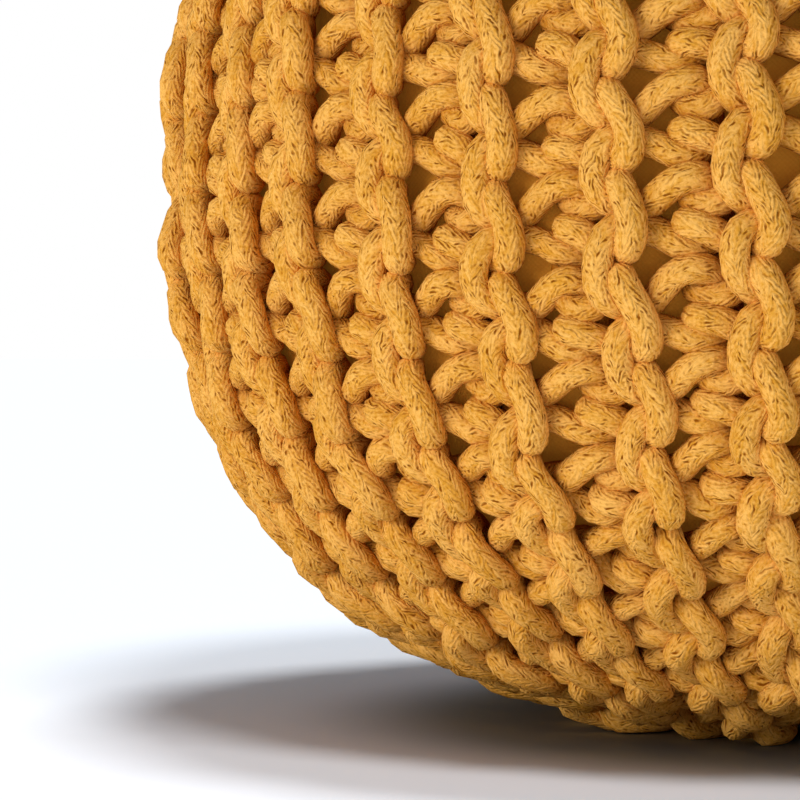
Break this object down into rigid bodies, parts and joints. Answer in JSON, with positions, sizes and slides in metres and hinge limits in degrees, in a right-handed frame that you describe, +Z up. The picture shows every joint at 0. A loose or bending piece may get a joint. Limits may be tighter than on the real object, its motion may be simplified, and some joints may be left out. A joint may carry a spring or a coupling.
{
  "type": "knitted pouf",
  "caption": "Round floor pouf in chunky garter-stitch cotton cord over a filled cloth casing, ridges running from a gather on top to one below.",
  "frame": {"origin": "centre of the pouf's footprint, on the ground it stands on", "axes": "+Z up along the pouf's axis, from the lower gather to the upper one; -Y is the front"},
  "size_m": [0.4986, 0.4986, 0.3984],
  "materials": {
    "cotton_cord": "matte braided cotton, mustard",
    "casing_cloth": "matte plain-woven cotton, ochre"
  },
  "bodies": {
    "root": {"knitted_cover": "cotton_cord", "filled_casing": "casing_cloth"}
  },
  "joints": []
}
